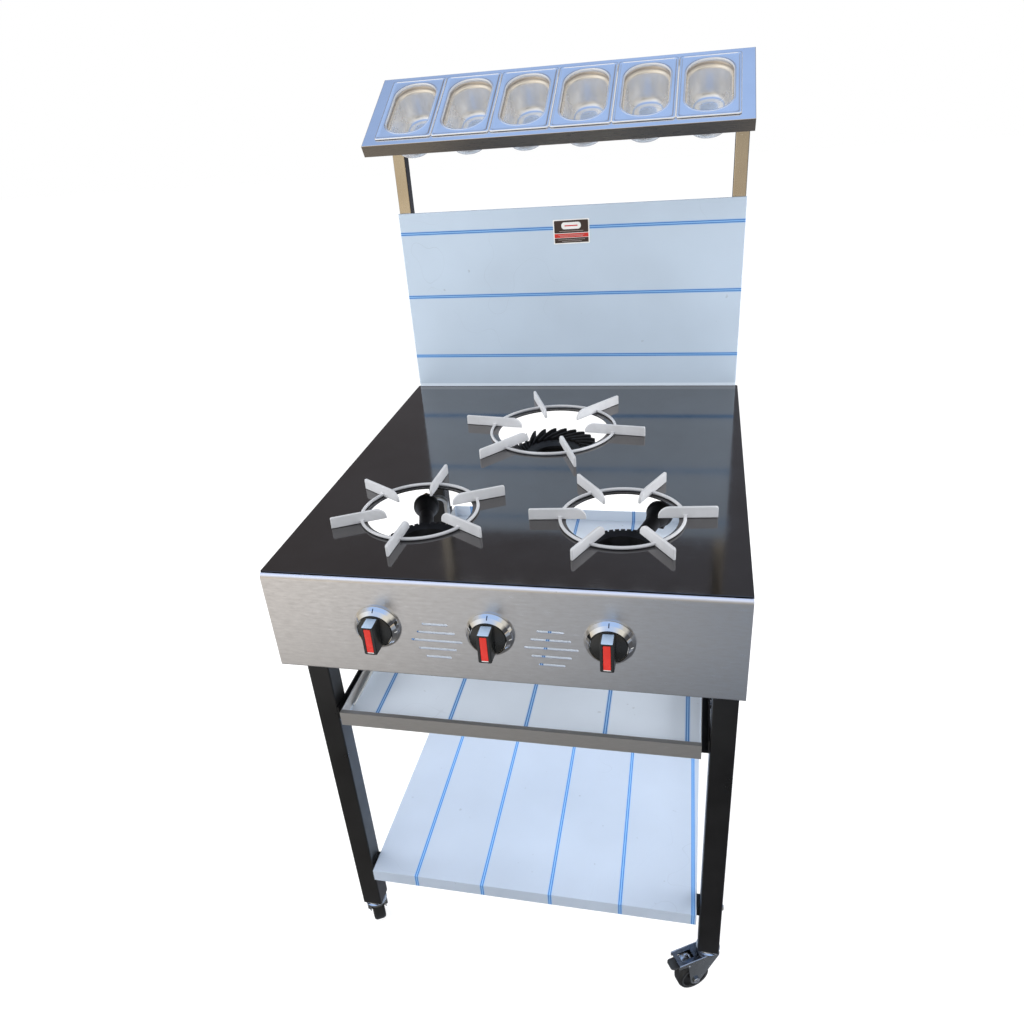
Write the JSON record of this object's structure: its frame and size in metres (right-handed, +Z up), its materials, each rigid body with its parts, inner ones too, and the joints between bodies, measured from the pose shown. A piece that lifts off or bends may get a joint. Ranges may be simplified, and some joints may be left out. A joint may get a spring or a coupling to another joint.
{
  "type": "wok range",
  "caption": "free-standing gas wok range on castors with open burners, a front panel with knobs, a backsplash, a tilted rack of food containers, a drip tray and a lower shelf",
  "frame": {"origin": "on the floor, under the middle of the outline seen from above", "axes": "+X to the cook's right, +Y from the cook to the wall, +Z up"},
  "size_m": [0.752, 0.8698, 1.5333],
  "materials": {
    "zinc_steel": "zinc plated",
    "filmed_steel": "brushed sheet under a thin clear film",
    "pedal_grey": "dark grey coat",
    "satin_black": "satin black powder coat",
    "cast_iron": "black heat-resistant coat on castings",
    "wheel_rubber": "moulded",
    "dark_mirror_steel": "dark mirror-polished sheet",
    "brushed_steel": "fine brushed",
    "feed_aluminium": "drawn tube",
    "brass": "machined",
    "silver_paint": "silver heat-resistant paint",
    "chrome": "bright chrome",
    "black_plastic": "satin gloss, heat resistant",
    "polished_steel": "polished"
  },
  "bodies": {
    "range": {"air_shutters": "zinc_steel", "backsplash": "filmed_steel", "burner_bars": "satin_black", "burner_left": "cast_iron", "burner_rear_base": "cast_iron", "burner_rear_head": "cast_iron", "burner_right": "cast_iron", "castor_mounts": "zinc_steel", "cooktop": "dark_mirror_steel", "fascia": "brushed_steel", "fascia_brackets": "brushed_steel", "feed_pipes": "feed_aluminium", "gas_inlet": "brass", "gas_taps": "brass", "injectors": "brass", "knob_bezels": "chrome", "leg_front_left": "satin_black", "leg_front_right": "satin_black", "leg_rear_left": "satin_black", "leg_rear_right": "satin_black", "lower_shelf": "filmed_steel", "manifold": "zinc_steel", "manifold_cap": "brass", "manifold_clips": "zinc_steel", "pan_rack": "brushed_steel", "rack_posts": "brushed_steel", "shelf_tabs": "satin_black", "top_rails": "satin_black", "tray_runners": "satin_black"},
    "tap_plug_left": {"tap_plug_left": "brass"},
    "knob_left": {"spindle_left": "zinc_steel", "knob_left": "black_plastic"},
    "tap_plug_centre": {"tap_plug_centre": "brass"},
    "knob_centre": {"spindle_centre": "zinc_steel", "knob_centre": "black_plastic"},
    "tap_plug_right": {"tap_plug_right": "brass"},
    "knob_right": {"spindle_right": "zinc_steel", "knob_right": "black_plastic"},
    "drip_tray": {"drip_tray": "filmed_steel"},
    "grate_left": {"grate_left": "silver_paint"},
    "grate_right": {"grate_right": "silver_paint"},
    "grate_rear": {"grate_rear": "silver_paint"},
    "pan_1": {"pan_1": "polished_steel"},
    "pan_2": {"pan_2": "polished_steel"},
    "pan_3": {"pan_3": "polished_steel"},
    "pan_4": {"pan_4": "polished_steel"},
    "pan_5": {"pan_5": "polished_steel"},
    "pan_6": {"pan_6": "polished_steel"},
    "castor_front_left": {"castor_fork_front_left": "zinc_steel"},
    "wheel_front_left": {"castor_wheel_front_left": "wheel_rubber"},
    "brake_pedal_front_left": {"brake_pedal_front_left": "pedal_grey"},
    "castor_front_right": {"castor_fork_front_right": "zinc_steel"},
    "wheel_front_right": {"castor_wheel_front_right": "wheel_rubber"},
    "brake_pedal_front_right": {"brake_pedal_front_right": "pedal_grey"},
    "castor_rear_left": {"castor_fork_rear_left": "zinc_steel"},
    "wheel_rear_left": {"castor_wheel_rear_left": "wheel_rubber"},
    "castor_rear_right": {"castor_fork_rear_right": "zinc_steel"},
    "wheel_rear_right": {"castor_wheel_rear_right": "wheel_rubber"}
  },
  "joints": [
    {"name": "turn_knob_left", "type": "hinge", "parent": "range", "child": "tap_plug_left", "pos_m": [-0.1765, -0.37763, 0.837], "axis": [0, -1, 0], "range_deg": [0, 180]},
    {"name": "push_knob_left", "type": "slide", "parent": "tap_plug_left", "child": "knob_left", "axis": [0, 1, 0], "range_m": [0, 0.003], "stiffness_N_per_m": 900},
    {"name": "turn_knob_centre", "type": "hinge", "parent": "range", "child": "tap_plug_centre", "pos_m": [-0.0063, -0.37763, 0.837], "axis": [0, -1, 0], "range_deg": [0, 180]},
    {"name": "push_knob_centre", "type": "slide", "parent": "tap_plug_centre", "child": "knob_centre", "axis": [0, 1, 0], "range_m": [0, 0.003], "stiffness_N_per_m": 900},
    {"name": "turn_knob_right", "type": "hinge", "parent": "range", "child": "tap_plug_right", "pos_m": [0.1639, -0.37763, 0.837], "axis": [0, -1, 0], "range_deg": [0, 180]},
    {"name": "push_knob_right", "type": "slide", "parent": "tap_plug_right", "child": "knob_right", "axis": [0, 1, 0], "range_m": [0, 0.003], "stiffness_N_per_m": 900},
    {"name": "pull_drip_tray", "type": "slide", "parent": "range", "child": "drip_tray", "axis": [0, -1, 0], "range_m": [0, 0.56]},
    {"name": "lift_grate_left", "type": "slide", "parent": "range", "child": "grate_left", "axis": [0, 0, 1], "range_m": [0, 0.15]},
    {"name": "lift_grate_right", "type": "slide", "parent": "range", "child": "grate_right", "axis": [0, 0, 1], "range_m": [0, 0.15]},
    {"name": "lift_grate_rear", "type": "slide", "parent": "range", "child": "grate_rear", "axis": [0, 0, 1], "range_m": [0, 0.15]},
    {"name": "lift_pan_1", "type": "slide", "parent": "range", "child": "pan_1", "axis": [0, -0.5, 0.866], "range_m": [0, 0.12]},
    {"name": "lift_pan_2", "type": "slide", "parent": "range", "child": "pan_2", "axis": [0, -0.5, 0.866], "range_m": [0, 0.12]},
    {"name": "lift_pan_3", "type": "slide", "parent": "range", "child": "pan_3", "axis": [0, -0.5, 0.866], "range_m": [0, 0.12]},
    {"name": "lift_pan_4", "type": "slide", "parent": "range", "child": "pan_4", "axis": [0, -0.5, 0.866], "range_m": [0, 0.12]},
    {"name": "lift_pan_5", "type": "slide", "parent": "range", "child": "pan_5", "axis": [0, -0.5, 0.866], "range_m": [0, 0.12]},
    {"name": "lift_pan_6", "type": "slide", "parent": "range", "child": "pan_6", "axis": [0, -0.5, 0.866], "range_m": [0, 0.12]},
    {"name": "swivel_castor_front_left", "type": "hinge", "parent": "range", "child": "castor_front_left", "pos_m": [-0.3273, -0.31453, 0.097], "axis": [0, 0, 1], "continuous": true},
    {"name": "roll_wheel_front_left", "type": "hinge", "parent": "castor_front_left", "child": "wheel_front_left", "pos_m": [-0.3438, -0.28595, 0.0315], "axis": [-0.866, -0.5, 0], "continuous": true},
    {"name": "press_brake_front_left", "type": "hinge", "parent": "castor_front_left", "child": "brake_pedal_front_left", "pos_m": [-0.3513, -0.27296, 0.0789], "axis": [-0.866, -0.5, 0], "range_deg": [0, 14]},
    {"name": "swivel_castor_front_right", "type": "hinge", "parent": "range", "child": "castor_front_right", "pos_m": [0.3273, -0.31453, 0.097], "axis": [0, 0, 1], "continuous": true},
    {"name": "roll_wheel_front_right", "type": "hinge", "parent": "castor_front_right", "child": "wheel_front_right", "pos_m": [0.29931, -0.33201, 0.0315], "axis": [0.5299, -0.848, 0], "continuous": true},
    {"name": "press_brake_front_right", "type": "hinge", "parent": "castor_front_right", "child": "brake_pedal_front_right", "pos_m": [0.28659, -0.33996, 0.0789], "axis": [0.5299, -0.848, 0], "range_deg": [0, 14]},
    {"name": "swivel_castor_rear_left", "type": "hinge", "parent": "range", "child": "castor_rear_left", "pos_m": [-0.3273, 0.38717, 0.097], "axis": [0, 0, 1], "continuous": true},
    {"name": "roll_wheel_rear_left", "type": "hinge", "parent": "castor_rear_left", "child": "wheel_rear_left", "pos_m": [-0.33584, 0.3553, 0.0315], "axis": [0.9659, -0.2588, 0], "continuous": true},
    {"name": "swivel_castor_rear_right", "type": "hinge", "parent": "range", "child": "castor_rear_right", "pos_m": [0.3273, 0.38717, 0.097], "axis": [0, 0, 1], "continuous": true},
    {"name": "roll_wheel_rear_right", "type": "hinge", "parent": "castor_rear_right", "child": "wheel_rear_right", "pos_m": [0.3438, 0.35859, 0.0315], "axis": [0.866, 0.5, 0], "continuous": true}
  ]
}
